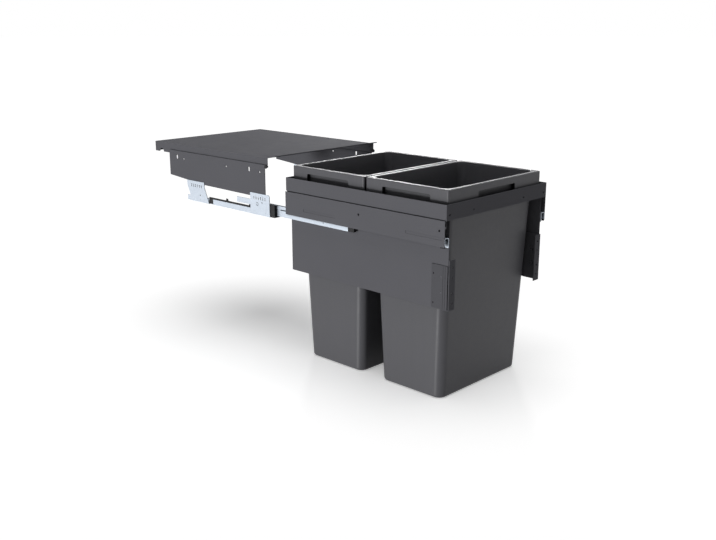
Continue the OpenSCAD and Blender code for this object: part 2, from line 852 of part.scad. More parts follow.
// a round slot that leaves a small tab hanging on one side
module lanced_tab() {
  difference() {
    circle(r = lance_r);
    circle(r = lance_r - lance_w);
    translate([0, -lance_root / 2]) square([lance_r + cut, lance_root]);
  }
}

module wall_bracket(left) {
  color(zinc) place() hand(left) side_sheet(plate_out, bracket_out) children();
}

module front_wall_bracket(left) {
  y0 = front_bracket_y;
  y1 = y0 + front_bracket_len;
  top = -wall_bracket_top;
  r = 6;
  tongue_slant = 2;
  tongue_low = top + tongue_top - tongue_h;
  wall_bracket(left)
    difference() {
      union() {
        translate([y0 + r, top - r]) circle(r = r);
        translate([y0, rail_bottom]) square([front_bracket_len, wall_bracket_h - r]);
        translate([y0 + r, top - r]) square([front_bracket_len - r, r]);
        translate([y1, tongue_low])
          polygon([[-cut, 0], [tongue_len, 0], [tongue_len - tongue_slant, tongue_h], [-cut, tongue_h]]);
      }
      translate([y0 + lance[0], top + lance[1]]) lanced_tab();
      bracket_slots(y0 + front_slot_in, top - slot_drop);
      translate([y0 + front_hole[0], top + front_hole[1]]) circle(r = wall_hole_r);
      for (y = [rail_rivets_y[0], rail_rivets_y[1]]) translate([y, rail_rivet_z]) circle(r = rivet_r);
      for (y = plate_rivets_y) translate([y, plate_rivet_z]) circle(r = rivet_r);
    }
}

module rear_wall_bracket(left) {
  y0 = rear_bracket_y;
  y1 = rear_bracket_y1;
  top = -wall_bracket_top;
  wall_bracket(left)
    difference() {
      polygon([[y0 - rear_slant_front, rail_bottom], [y1 - rear_slant_rear, rail_bottom],
               [y1, top + rear_kink], [y1, top], [y0, top], [y0, top + rear_kink]]);
      bracket_slots(y0 + rear_slot_in, top - slot_drop);
      translate([y0 + rear_hole[0], top + rear_hole[1]]) circle(r = wall_hole_r);
      for (y = [rail_rivets_y[2], rail_rivets_y[3]]) translate([y, rail_rivet_z]) circle(r = rivet_r);
    }
}

module rail_rivets() {
  color(zinc) place()
    for (left = [false, true])
      hand(left) {
        for (y = rail_rivets_y) {
          bar_x(plate_out - rail_t, bracket_out, y, rail_rivet_z, rivet_r);
          bar_x(plate_out - rail_t - 1, plate_out - rail_t, y, rail_rivet_z, rivet_r + 1);
        }
        for (y = plate_rivets_y) {
          bar_x(plate_in, bracket_out, y, plate_rivet_z, rivet_r);
          bar_x(plate_in - 1, plate_in, y, plate_rivet_z, rivet_r + 1);
        }
      }
}

plate_holes_z = lid_seat - 11.1;
plate_first_hole = plate_y0 + 21;
plate_mid_hole = plate_first_hole + 141.5;
plate_slot = [plate_y0 + 64.5, plate_holes_z + 3.5];
plate_slot_size = [6, 13];
plate_oval = [plate_y1 - 37, plate_holes_z + 3.5];
plate_oval_size = [7.8, 13];
ledge_end = 12;          // from a side plate's ends to its ledge

module side_plate(left) {
  color(steel_grey) place() hand(left) {
    side_sheet(plate_in, plate_out)
      difference() {
        union() {
          polygon([[plate_y0, lid_seat - plate_front_h], [rear_bracket_y, lid_seat - plate_mid_h],
                   [plate_y1, lid_seat - plate_rear_h], [plate_y1, plate_top], [plate_y0, plate_top]]);
          translate([stud_y, stud_z]) circle(r = stud_tab_r);
          translate([stud_y, stud_z - stud_tab_r]) square([stud_tab_r + cut, 2 * stud_tab_r]);
        }
        for (y = [plate_first_hole, plate_mid_hole, plate_first_hole + plate_hole_span])
          translate([y, plate_holes_z]) circle(r = plate_hole_r);
        for (y = plate_rivets_y) translate([y, plate_rivet_z]) circle(r = rivet_r);
        translate(plate_oval) scale(plate_oval_size) circle(d = 1);
        slot_2d(plate_slot[0], plate_slot[1], plate_slot_size[0], plate_slot_size[1]);
        translate([stud_y, stud_z]) circle(r = stud_r);
      }
    block([plate_in - ledge_w, plate_y0 + ledge_end, lid_seat - sheet],
          [plate_in, plate_y1 - ledge_end, lid_seat]);
  }
}

module lid_studs() {
  reach = 2;
  head_t = 1;
  head_r = stud_tab_r + 0.4;
  color(black) place()
    for (left = [false, true])
      hand(left) {
        bar_x(lid_u - lid_t - reach, plate_out, stud_y, stud_z, stud_r);
        bar_x(plate_out, plate_out + head_t, stud_y, stud_z, head_r);
      }
}

// lid

module platform(low, high, w, l0, l1) {
  hull() {
    block([-w / 2, l0, low - 0.01], [w / 2, l1, low]);
    block([-w / 2 + slope_w, l0 + slope_w, high - 0.01], [w / 2 - slope_w, l1 - slope_w, high]);
  }
}

// the top sheet bends up in front of this line
crease_y = lid_y0 + 8;
skin = 0.1;              // thickness of the thin slabs that a hull joins

module front_lip() {
  lip_y = lid_y0 - lip_len;
  edge_z = lid_top + lip_rise;
  lip_u = lid_u - lip_inset;
  hull() {
    block([-lid_u, crease_y - skin, lid_top - lid_t], [lid_u, crease_y, lid_top]);
    block([-lip_u, lip_y, edge_z - lid_t - 1], [lip_u, lip_y + 2, edge_z]);
  }
}

module lid() {
  w = 2 * lid_u - 2 * border_w;
  rear = lid_y1 - border_w;
  stud_clear = stud_r + slack;
  color(steel_grey) place()
    difference() {
      union() {
        block([-lid_u, crease_y - cut, lid_top - lid_t], [lid_u, lid_y1, lid_top]);
        front_lip();
        platform(lid_top, lid_top + platform_rise, w, crease_y, rear);
        for (left = [false, true])
          hand(left) block([lid_u - lid_t, lid_y0, lid_seat], [lid_u, lid_y1, lid_top]);
        block([-lid_u, lid_y1 - lid_t, lid_seat], [lid_u, lid_y1, lid_top]);
      }
      platform(lid_top - lid_t - 0.1, lid_top + platform_rise - lid_t, w - 2 * lid_t,
               crease_y + lid_t, rear - lid_t);
      block([-lid_u - cut, lid_y0 - cut, lid_seat - cut],
            [lid_u + cut, stud_y + stud_clear, stud_z + stud_clear]);
      bar_x(-lid_u - cut, lid_u + cut, lid_y1 - lid_notch_in, lid_seat, lid_notch_r);
    }
}

lid();
side_plate(true);  // side_plate_left
side_plate(false);  // side_plate_right
lid_studs();
front_wall_bracket(true);  // front_wall_bracket_left
front_wall_bracket(false);  // front_wall_bracket_right
rear_wall_bracket(true);  // rear_wall_bracket_left
rear_wall_bracket(false);  // rear_wall_bracket_right
cabinet_rail(true);  // cabinet_rail_left
cabinet_rail(false);  // cabinet_rail_right
rail_rivets();
rail_front_cap(true);  // rail_front_cap_left
rail_front_cap(false);  // rail_front_cap_right
damper_housing(true);  // damper_housing_left
damper_housing(false);  // damper_housing_right
damper_cylinder(true);  // damper_cylinder_left
damper_cylinder(false);  // damper_cylinder_right
catch(true);  // catch_left
catch(false);  // catch_right
damper_rod(true);  // damper_rod_left
damper_rod(false);  // damper_rod_right
closing_spring(true);  // closing_spring_left
closing_spring(false);  // closing_spring_right
middle_rail(true);  // middle_rail_left
middle_rail(false);  // middle_rail_right
middle_end_cap(true);  // middle_end_cap_left
middle_end_cap(false);  // middle_end_cap_right
lower_cage(true);  // lower_cage_left
lower_cage(false);  // lower_cage_right
lower_balls(true);  // lower_balls_left
lower_balls(false);  // lower_balls_right
upper_cage(true);  // upper_cage_left
upper_cage(false);  // upper_cage_right
upper_balls(true);  // upper_balls_left
upper_balls(false);  // upper_balls_right
drawer_rail(true);  // drawer_rail_left
drawer_rail(false);  // drawer_rail_right
front_clip(true);  // front_clip_left
front_clip(false);  // front_clip_right
rail_striker(true);  // rail_striker_left
rail_striker(false);  // rail_striker_right
side_band(true);  // side_band_left
side_band(false);  // side_band_right
runner_cover(true);  // runner_cover_left
runner_cover(false);  // runner_cover_right
skirt(true);  // skirt_left
skirt(false);  // skirt_right
front_wing();
rear_bar();
door_bracket(true);  // door_bracket_left
door_bracket(false);  // door_bracket_right
clamp_plate(true);  // clamp_plate_left
clamp_plate(false);  // clamp_plate_right
bracket_screws();
bin_front();
bin_rear();
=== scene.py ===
"""Looks of the pull-out bin frame: softened metal, moulded bins, coil springs, studio and camera."""

import json
import math

import bmesh
import bpy
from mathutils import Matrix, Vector

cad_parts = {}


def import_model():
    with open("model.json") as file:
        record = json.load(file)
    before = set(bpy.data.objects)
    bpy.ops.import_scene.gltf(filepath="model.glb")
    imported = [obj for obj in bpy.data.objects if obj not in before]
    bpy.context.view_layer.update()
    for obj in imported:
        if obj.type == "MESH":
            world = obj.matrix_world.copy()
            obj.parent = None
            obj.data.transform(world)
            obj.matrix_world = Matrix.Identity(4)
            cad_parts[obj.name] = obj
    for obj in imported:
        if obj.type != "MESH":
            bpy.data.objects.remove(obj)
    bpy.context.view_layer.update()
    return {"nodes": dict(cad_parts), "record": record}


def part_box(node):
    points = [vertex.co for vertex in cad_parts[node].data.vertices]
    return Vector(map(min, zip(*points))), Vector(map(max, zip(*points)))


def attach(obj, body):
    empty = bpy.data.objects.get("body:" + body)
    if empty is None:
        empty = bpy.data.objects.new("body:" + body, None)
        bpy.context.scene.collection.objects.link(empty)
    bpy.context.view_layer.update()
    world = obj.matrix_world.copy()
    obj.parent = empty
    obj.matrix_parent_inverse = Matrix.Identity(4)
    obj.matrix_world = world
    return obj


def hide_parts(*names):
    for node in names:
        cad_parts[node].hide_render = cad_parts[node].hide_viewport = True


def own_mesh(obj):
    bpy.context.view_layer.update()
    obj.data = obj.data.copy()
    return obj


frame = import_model()

# Lengths of the pieces are millimetres in the part's own drawing: y = 0 is the back of the front
# wing, z = 0 the frame's top edge. point() turns them into the shared frame's metres.
MID_Y = 549.0
BIN_DEPTH = 487.0


def point(x, y, z):
    return Vector((x / 1000, (y - MID_Y) / 1000, (z + BIN_DEPTH) / 1000))


BODY_OF = {
    node: body
    for body, nodes in frame["record"]["behaviour"]["bodies"].items()
    for node in nodes
}
SLOT_OF = {part["node"]: part["material_slot"] for part in frame["record"]["subparts"]}
SIDES = ("left", "right")


# Materials: a small helper class for node trees, then one function per material

WEAR_START = 0.62        # pointiness where wear begins; flat faces beside a rounded edge stay below it
WEAR_FULL = 0.72
# Painted shade in recesses, from an ambient occlusion node
RECESS_SHADE_SAMPLES = 8
RECESS_SHADE_CLOSED = 0.25     # openness at which the painted recess shade is darkest
RECESS_SHADE_OPEN = 0.9        # and at which no shade is painted


def grey(value, blue=1.10):
    """A grey that leans to blue, as the real part's coatings do."""
    return (value, value, value * blue)


def neutral(value):
    return grey(value, blue=1)


class Nodes:
    """Adds and joins shader nodes in one material."""

    def __init__(self, name):
        self.material = bpy.data.materials.new(name)
        self.material.use_nodes = True
        self.tree = self.material.node_tree
        self.tree.nodes.clear()
        self.output = self.tree.nodes.new("ShaderNodeOutputMaterial")
        self.shader = self.tree.nodes.new("ShaderNodeBsdfPrincipled")
        self.join(self.shader.outputs["BSDF"], self.output.inputs["Surface"])
        self.place = self.tree.nodes.new("ShaderNodeTexCoord").outputs["Object"]

    def join(self, source, target):
        self.tree.links.new(source, target)

    def stretched(self, scale):
        """The place with its axes scaled, to draw a texture out along the smallest one."""
        mapping = self.tree.nodes.new("ShaderNodeMapping")
        mapping.inputs["Scale"].default_value = scale
        self.join(self.place, mapping.inputs["Vector"])
        return mapping.outputs["Vector"]

    def noise(self, scale, detail=2.0, roughness=0.5, place=None):
        node = self.tree.nodes.new("ShaderNodeTexNoise")
        node.inputs["Scale"].default_value = scale
        node.inputs["Detail"].default_value = detail
        node.inputs["Roughness"].default_value = roughness
        self.join(place or self.place, node.inputs["Vector"])
        return node.outputs["Fac"]

    def cells(self, scale, output="Color"):
        node = self.tree.nodes.new("ShaderNodeTexVoronoi")
        node.inputs["Scale"].default_value = scale
        self.join(self.place, node.inputs["Vector"])
        return node.outputs[output]

    def ramp(self, source, low, high, start=0.0, end=1.0):
        """Turns a value into a colour between low and high."""
        node = self.tree.nodes.new("ShaderNodeValToRGB")
        first, last = node.color_ramp.elements
        first.position = start
        last.position = end
        first.color = (*low, 1)
        last.color = (*high, 1)
        self.join(source, node.inputs["Fac"])
        return node.outputs["Color"]

    def spread(self, source, low, high, start=0.3, end=0.7):
        """Maps a value from start..end to low..high."""
        node = self.tree.nodes.new("ShaderNodeMapRange")
        for name, value in (("From Min", start), ("From Max", end), ("To Min", low), ("To Max", high)):
            node.inputs[name].default_value = value
        self.join(source, node.inputs["Value"])
        return node.outputs["Result"]

    def mix(self, factor, first, second, blend="MIX"):
        node = self.tree.nodes.new("ShaderNodeMix")
        node.data_type = "RGBA"
        node.blend_type = blend
        if isinstance(factor, float):
            node.inputs["Factor"].default_value = factor
        else:
            self.join(factor, node.inputs["Factor"])
        self.join(first, node.inputs["A"])
        self.join(second, node.inputs["B"])
        return node.outputs["Result"]

    def times(self, first, second):
        return self.mix(1.0, first, second, "MULTIPLY")

    def bump(self, height, strength, distance, below=None):
        """A bumped normal, on top of the one below where that is given."""
        node = self.tree.nodes.new("ShaderNodeBump")
        node.inputs["Strength"].default_value = strength
        node.inputs["Distance"].default_value = distance
        self.join(height, node.inputs["Height"])
        if below:
            self.join(below, node.inputs["Normal"])
        return node.outputs["Normal"]

    def edges(self):
        """A value that rises on outward edges, for wear."""
        node = self.tree.nodes.new("ShaderNodeNewGeometry")
        return self.spread(node.outputs["Pointiness"], 0.0, 1.0, start=WEAR_START, end=WEAR_FULL)

    def painted_recess_shade(self, colour, reach, darkest):
        """Painted shade: darkens the colour where surfaces within reach close it in: grooves, pockets,
        channels.
        """
        node = self.tree.nodes.new("ShaderNodeAmbientOcclusion")
        node.samples = RECESS_SHADE_SAMPLES
        node.inputs["Distance"].default_value = reach
        openness = node.outputs["AO"]
        painted_shade = self.ramp(
            openness, neutral(darkest), neutral(1.0), start=RECESS_SHADE_CLOSED, end=RECESS_SHADE_OPEN)
        return self.times(colour, painted_shade)

    def finish(self, colour, roughness, normal, metallic=0.0, specular=0.5):
        """Joins what was made to the shader, and gives the material."""
        self.join(colour, self.shader.inputs["Base Color"])
        self.join(roughness, self.shader.inputs["Roughness"])
        self.join(normal, self.shader.inputs["Normal"])
        self.shader.inputs["Metallic"].default_value = metallic
        self.shader.inputs["Specular IOR Level"].default_value = specular
        return self.material


def powder_coat(name, value):
    """Satin powder coat on steel: orange peel, fine pigment grain, faintly worn edges, painted shade in
    grooves.
    """
    n = Nodes(name)
    grain = n.noise(scale=2600, detail=3)
    pigment = n.ramp(grain, grey(0.92 * value), grey(1.08 * value), start=0.25, end=0.75)
    clouds = n.ramp(n.noise(scale=9), neutral(0.96), neutral(1.0), start=0.2, end=0.8)
    rubbed = n.ramp(n.noise(scale=300), grey(1.2 * value), grey(1.6 * value))
    worn = n.mix(n.edges(), n.times(pigment, clouds), rubbed)
    # Painted shade in grooves and pockets, from ambient occlusion
    colour = n.painted_recess_shade(worn, reach=0.006, darkest=0.45)
    roughness = n.spread(n.noise(scale=35, detail=3), 0.52, 0.60)
    peel = n.bump(n.noise(scale=620, detail=1.5, roughness=0.45), strength=0.22, distance=0.00009)
    normal = n.bump(n.noise(scale=3200, detail=1), strength=0.12, distance=0.00004, below=peel)
    return n.finish(colour, roughness, normal, specular=0.005)


def moulded_bin():
    """Moulded polypropylene: spark-eroded grain, slight flow marks down the walls, painted shade in
    recesses.
    """
    n = Nodes("moulded_polypropylene_grey")
    speckle = n.noise(scale=1900, detail=4, roughness=0.6)
    grain = n.ramp(speckle, grey(0.076), grey(0.090), start=0.25, end=0.75)
    marks = n.noise(scale=60, detail=3, place=n.stretched((1.0, 1.0, 0.08)))
    flow = n.ramp(marks, neutral(0.97), neutral(1.0), start=0.3, end=0.7)
    # Painted shade in the notches, between the rims and down the bins' insides
    colour = n.painted_recess_shade(n.times(grain, flow), reach=0.025, darkest=0.2)
    roughness = n.spread(n.noise(scale=90, detail=3), 0.37, 0.45)
    ripple = n.bump(n.noise(scale=700), strength=0.15, distance=0.00008)
    pits = n.cells(scale=1500, output="Distance")
    normal = n.bump(pits, strength=0.18, distance=0.00006, below=ripple)
    return n.finish(colour, roughness, normal, specular=0.25)


def galvanised():
    """Zinc-coated strip: soft spangle, rolling lines along it, duller edges, painted shade inside
    channels.
    """
    n = Nodes("galvanised_steel")
    spangle = n.ramp(n.cells(scale=260), (0.54, 0.60, 0.68), (0.60, 0.66, 0.74))
    haze = n.ramp(n.noise(scale=45, detail=3), neutral(0.95), neutral(1.0), start=0.3, end=0.7)
    dull = n.ramp(n.noise(scale=400), grey(0.42), grey(0.52))
    worn = n.mix(n.edges(), n.times(spangle, haze), dull)
    # Painted shade inside the rails' channels
    colour = n.painted_recess_shade(worn, reach=0.02, darkest=0.08)
    lines = n.noise(scale=700, detail=3, roughness=0.55, place=n.stretched((1.0, 0.02, 1.0)))
    roughness = n.spread(lines, 0.30, 0.42)
    normal = n.bump(lines, strength=0.10, distance=0.00004)
    return n.finish(colour, roughness, normal, metallic=0.55)


def bright_steel():
    """Ground and polished steel of balls, rods and springs."""
    n = Nodes("polished_steel")
    tint = 1.01
    clouds = n.noise(scale=500, detail=3)
    colour = n.ramp(clouds, grey(0.66, tint), grey(0.78, tint), start=0.3, end=0.7)
    lines = n.noise(scale=2600, place=n.stretched((1.0, 0.1, 1.0)))
    roughness = n.spread(lines, 0.12, 0.24)
    normal = n.bump(lines, strength=0.08, distance=0.00002)
    return n.finish(colour, roughness, normal, metallic=1.0)


def black_plastic():
    """Black moulded nylon: fine grain, a little lighter where it rubs."""
    n = Nodes("black_nylon")
    base = n.ramp(n.noise(scale=1700, detail=3), grey(0.011), grey(0.018))
    rubbed = n.ramp(n.noise(scale=300), grey(0.02), grey(0.04))
    colour = n.mix(n.edges(), base, rubbed)
    roughness = n.spread(n.noise(scale=120, detail=3), 0.38, 0.52)
    normal = n.bump(n.cells(scale=1800, output="Distance"), strength=0.16, distance=0.00005)
    return n.finish(colour, roughness, normal, specular=0.2)


MATERIALS = {
    "grey_steel": powder_coat("powder_coat_grey", 0.115),
    "grey_plastic": moulded_bin(),
    "zinc_steel": galvanised(),
    "bright_steel": bright_steel(),
    "black_plastic": black_plastic(),
}
# Steel with a darker finish than its slot's, by the node's name without its side
DARKER = {
    "clamp_plate": powder_coat("powder_coat_dark_grey", 0.092),
    "front_clip": powder_coat("phosphated_steel", 0.03),
}


# Pieces: the common steps

BEVEL_SEGMENTS = 2
BEVEL_ANGLE = 35         # degrees; sharper bends get a rounded edge
MERGE_DISTANCE = 2e-6    # metres between points that are one
FLAT_ANGLE = 0.5         # degrees; triangles closer than this make one flat face
SHARP_STEEL = 42         # degrees; sharper bends show as an edge in the shading
SHARP_PLASTIC = 38
SHARP_WIRE = 60


def dress(piece, node):
    """The piece stands for the CAD node, rides where it rode and takes its slot's material."""
    slot = SLOT_OF[node]
    without_side = node.rsplit("_", 1)[0]
    piece.data.materials.clear()
    piece.data.materials.append(DARKER.get(without_side, MATERIALS[slot]))
    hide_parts(node)
    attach(piece, BODY_OF[node])


def new_piece(name, mesh):
    """An object of that form in the scene; the form's own copy is freed."""
    data = bpy.data.meshes.new(name)
    mesh.to_mesh(data)
    mesh.free()
    piece = bpy.data.objects.new(name, data)
    bpy.context.scene.collection.objects.link(piece)
    return piece


def bake_modifiers(piece):
    """Puts the result of the piece's modifiers into its mesh."""
    graph = bpy.context.evaluated_depsgraph_get()
    done = bpy.data.meshes.new_from_object(piece.evaluated_get(graph))
    piece.modifiers.clear()
    piece.data = done


def shade(piece, sharp_angle):
    """Smooth shading, except over bends sharper than the angle."""
    for face in piece.data.polygons:
        face.use_smooth = True
    piece.data.set_sharp_from_angle(angle=math.radians(sharp_angle))


def keep_faces_flat(piece):
    """Large faces keep their own normal, so that only the rounded edges between them shade smoothly."""
    piece.modifiers.new("flat_faces", "WEIGHTED_NORMAL").keep_sharp = True


def round_edges(piece, width):
    bevel = piece.modifiers.new("edge_radius", "BEVEL")
    bevel.width = width / 1000
    bevel.segments = BEVEL_SEGMENTS
    bevel.limit_method = "ANGLE"
    bevel.angle_limit = math.radians(BEVEL_ANGLE)
    bevel.use_clamp_overlap = True
    bevel.miter_outer = "MITER_ARC"
    bake_modifiers(piece)


def cad_copy(node):
    """A mesh of the node with its triangles joined into flat faces."""
    mesh = bmesh.new()
    mesh.from_mesh(frame["nodes"][node].data)
    bmesh.ops.transform(mesh, matrix=frame["nodes"][node].matrix_world, verts=mesh.verts)
    bmesh.ops.remove_doubles(mesh, verts=mesh.verts, dist=MERGE_DISTANCE)
    bmesh.ops.dissolve_limit(
        mesh,
        angle_limit=math.radians(FLAT_ANGLE),
        use_dissolve_boundaries=False,
        verts=mesh.verts,
        edges=mesh.edges,
    )
    return mesh


def join_rows(mesh, rows):
    """Skins rows of equal point counts into a closed form, capped at both ends."""
    count = len(rows[0])
    for low, high in zip(rows, rows[1:]):
        for i in range(count):
            j = (i + 1) % count
            mesh.faces.new((low[i], low[j], high[j], high[i]))
    mesh.faces.new(rows[0])
    mesh.faces.new(rows[-1][::-1])


def turned_outward(mesh):
    bmesh.ops.recalc_face_normals(mesh, faces=mesh.faces)
    return mesh


# Parts that keep their drawn form and get rounded edges

# Edge radii in millimetres; 0 is for forms that have no edge
EDGE_RADII = {
    "lid": 0.7,
    "side_plate": 0.4,
    "lid_studs": 0.6,
    "front_wall_bracket": 0.35,
    "rear_wall_bracket": 0.35,
    "cabinet_rail": 0.5,
    "rail_rivets": 0.5,
    "rail_front_cap": 1.2,
    "damper_housing": 0.35,
    "damper_cylinder": 0.2,
    "catch": 0.3,
    "damper_rod": 0.15,
    "middle_rail": 0.6,
    "middle_end_cap": 1.2,
    "lower_cage": 0.2,
    "upper_cage": 0.2,
    "lower_balls": 0,
    "upper_balls": 0,
    "drawer_rail": 0.4,
    "front_clip": 0.4,
    "rail_striker": 0.3,
    "side_band": 0.5,
    "runner_cover": 0.35,
    "skirt": 0.5,
    "front_wing": 0.5,
    "rear_bar": 0.5,
    "door_bracket": 0.6,
    "clamp_plate": 0.35,
    "bracket_screws": 0.4,
}


def formed(node, edge_radius):
    piece = new_piece(node + "_formed", cad_copy(node))
    if edge_radius:
        round_edges(piece, edge_radius)
    shade(piece, SHARP_STEEL)
    keep_faces_flat(piece)
    dress(piece, node)


def formed_parts():
    for name, edge_radius in EDGE_RADII.items():
        nodes = [name] if name in BODY_OF else [f"{name}_{side}" for side in SIDES]
        for node in nodes:
            formed(node, edge_radius)


# Bins: pairs are half sizes across and along the part

RIM_START = {"bin_front": 6.4, "bin_rear": 264.4}    # y of each rim's front face
RIM_HALF = (183.5, 126.0)
WALL_HALF = (174.5, 117.0)
TAPER = (16.5, 20.4)     # how far the walls come in on their way down
WALL = 2.5
RIM_TOP = 30.3
RIM_LOW = -8.0
FLOOR = -BIN_DEPTH
FLOOR_THICK = 3.0
FLOOR_EDGE = 7.0         # radius between walls and floor
FLOOR_STEPS = 5
CORNER = 22.0
CORNER_STEPS = 8
RIM_CORNER = 5.0
LIP = 2.2                # radius along the rim's edges
LIP_TURN = (0, 22, 45, 68, 90)    # degrees of the rings over a lip's quarter turn
SKIRT_EDGE = 0.5         # chamfer of the skirt's lower edge
UNDER_RIM = 2.0          # slopes in the corners under the rim, down the wall and in from the skirt
WALL_ROOT = 1.0          # reach of the wall's slope along the rim's underside
WALL_HEIGHTS = (-300.0, -100.0, 0.0)    # rings down the wall, inside and outside
NOTCH_HALF = 73.0
NOTCH_TOP = 14.0
NOTCH_CORNER = 4.0
NOTCH_STEPS = 6
CUTTER_INSIDE = 0.5      # how far the cutter passes the skirt's inner face
CUTTER_PAST = 2.0        # and its outer face and lower edge


def rounded_ring(half_x, half_y, radius, z):
    """Points round a rectangle with rounded corners."""
    ring = []
    for corner, (sx, sy) in enumerate(((1, 1), (-1, 1), (-1, -1), (1, -1))):
        for step in range(CORNER_STEPS + 1):
            angle = math.pi / 2 * (corner + step / CORNER_STEPS)
            ring.append((
                sx * (half_x - radius) + radius * math.cos(angle),
                sy * (half_y - radius) + radius * math.sin(angle),
                z,
            ))
    return ring


def wall_ring(inset, z, shrink=0.0):
    """The tapered wall at a height: inset 0 is its outside, and shrink draws in the floor's edge."""
    share = (RIM_TOP - z) / (RIM_TOP - FLOOR - FLOOR_EDGE)
    share = min(share, 1.0)
    half_x = WALL_HALF[0] - TAPER[0] * share - inset - shrink
    half_y = WALL_HALF[1] - TAPER[1] * share - inset - shrink
    return rounded_ring(half_x, half_y, CORNER - inset - shrink, z)


def rim_ring(inset, z, radius=RIM_CORNER):
    """The upright skirt of the rim at a height: inset 0 is its outside."""
    return rounded_ring(RIM_HALF[0] - inset, RIM_HALF[1] - inset, radius, z)


def floor_rings(inset, low):
    """From the wall round the floor's edge to the flat floor."""
    rings = []
    for step in range(FLOOR_STEPS + 1):
        angle = math.radians(90) * step / FLOOR_STEPS
        shrink = FLOOR_EDGE * (1 - math.cos(angle))
        rings.append(wall_ring(inset, low + FLOOR_EDGE * (1 - math.sin(angle)), shrink))
    return rings


def bin_profile():
    """Rings from the middle of the inside floor, over the rim, to the middle of the outside floor."""
    rings = floor_rings(WALL, FLOOR + FLOOR_THICK)[::-1]
    for z in (*WALL_HEIGHTS, RIM_TOP - LIP):
        rings.append(wall_ring(WALL, z))
    turn = [math.radians(degrees) for degrees in LIP_TURN]
    for angle in turn[1:]:
        inset = WALL - LIP * (1 - math.cos(angle))
        rings.append(wall_ring(inset, RIM_TOP - LIP * (1 - math.sin(angle))))
    for angle in turn:
        inset = LIP * (1 - math.sin(angle))
        rings.append(rim_ring(inset, RIM_TOP - LIP * (1 - math.cos(angle)), RIM_CORNER - inset / 2))
    rings.append(rim_ring(0.0, RIM_LOW + SKIRT_EDGE))
    rings.append(rim_ring(SKIRT_EDGE, RIM_LOW))
    rings.append(rim_ring(WALL - SKIRT_EDGE, RIM_LOW))
    rings.append(rim_ring(WALL, RIM_LOW + SKIRT_EDGE))
    rings.append(rim_ring(WALL, RIM_TOP - WALL - UNDER_RIM))
    rings.append(rim_ring(WALL + UNDER_RIM, RIM_TOP - WALL))
    rings.append(wall_ring(-WALL_ROOT, RIM_TOP - WALL))
    for z in (RIM_TOP - WALL - UNDER_RIM, *reversed(WALL_HEIGHTS)):
        rings.append(wall_ring(0.0, z))
    return rings + floor_rings(0.0, FLOOR)


def bin_body(centre_y):
    mesh = bmesh.new()
    rows = []
    for ring in bin_profile():
        rows.append([mesh.verts.new(point(x, y + centre_y, z)) for x, y, z in ring])
    join_rows(mesh, rows)
    return turned_outward(mesh)


def notch_outline():
    """A finger notch seen from outside, along the rim and in height: open below, round above."""
    outline = [(-NOTCH_HALF, RIM_LOW - CUTTER_PAST), (NOTCH_HALF, RIM_LOW - CUTTER_PAST)]
    for side, start in ((1, 0), (-1, 90)):
        for step in range(NOTCH_STEPS + 1):
            angle = math.radians(start + 90 * step / NOTCH_STEPS)
            outline.append((
                side * (NOTCH_HALF - NOTCH_CORNER) + NOTCH_CORNER * math.cos(angle),
                NOTCH_TOP - NOTCH_CORNER + NOTCH_CORNER * math.sin(angle),
            ))
    return outline


def notch_cutter(centre_y):
    """Four prisms, one through each side of a rim's skirt."""
    mesh = bmesh.new()
    for half, turned in ((RIM_HALF[0], True), (RIM_HALF[1], False)):
        for side in (1, -1):
            rows = []
            for depth in (half - WALL - CUTTER_INSIDE, half + CUTTER_PAST):
                row = []
                for along, z in notch_outline():
                    x, y = (side * depth, along) if turned else (along, side * depth)
                    row.append(mesh.verts.new(point(x, y + centre_y, z)))
                rows.append(row)
            join_rows(mesh, rows)
    return turned_outward(mesh)


def moulded(node, centre_y):
    """A bin with rounded lips and with finger notches cut through its rim's skirt."""
    piece = new_piece(node + "_moulded", bin_body(centre_y))
    cutter = new_piece(node + "_cutter", notch_cutter(centre_y))
    cut = piece.modifiers.new("notches", "BOOLEAN")
    cut.operation = "DIFFERENCE"
    cut.solver = "EXACT"
    cut.object = cutter
    bake_modifiers(piece)
    bpy.data.objects.remove(cutter)
    shade(piece, SHARP_PLASTIC)
    keep_faces_flat(piece)
    dress(piece, node)


def bins():
    for node, start in RIM_START.items():
        moulded(node, start + RIM_HALF[1])


# Closing springs

SPRING_START = 771.0
SPRING_END = 842.0
SPRING_RADIUS = 1.42     # to the middle of the wire
SPRING_TURNS = 26
TURN_STEPS = 18
WIRE_RADIUS = 0.27
WIRE_SIDES = 8


def spring_axis(node):
    """The middle of the CAD's spring, across and in height, in metres."""
    low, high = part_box(node)
    return (low[0] + high[0]) / 2, (low[2] + high[2]) / 2


def coil(node):
    """A round wire wound into an open coil."""
    centre_x, centre_z = spring_axis(node)
    along = Vector((0, 1, 0))
    mesh = bmesh.new()
    steps = SPRING_TURNS * TURN_STEPS
    length = SPRING_END - SPRING_START - 2 * WIRE_RADIUS
    rows = []
    for step in range(steps + 1):
        share = step / steps
        angle = 2 * math.pi * SPRING_TURNS * share
        radial = Vector((math.cos(angle), 0, math.sin(angle)))
        middle = radial * SPRING_RADIUS
        centre_y = (SPRING_START + WIRE_RADIUS + length * share - MID_Y) / 1000
        row = []
        for side in range(WIRE_SIDES):
            turn = 2 * math.pi * side / WIRE_SIDES
            offset = (radial * math.cos(turn) + along * math.sin(turn)) * WIRE_RADIUS
            place = (middle + offset) / 1000
            row.append(mesh.verts.new((centre_x + place.x, centre_y + place.y, centre_z + place.z)))
        rows.append(row)
    join_rows(mesh, rows)
    return turned_outward(mesh)


def springs():
    """Open coils of round wire in place of the CAD's closing springs."""
    for side in SIDES:
        node = f"closing_spring_{side}"
        piece = new_piece(node + "_coil", coil(node))
        shade(piece, SHARP_WIRE)
        dress(piece, node)
        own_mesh(piece)


formed_parts()
bins()
springs()


# Studio, in metres

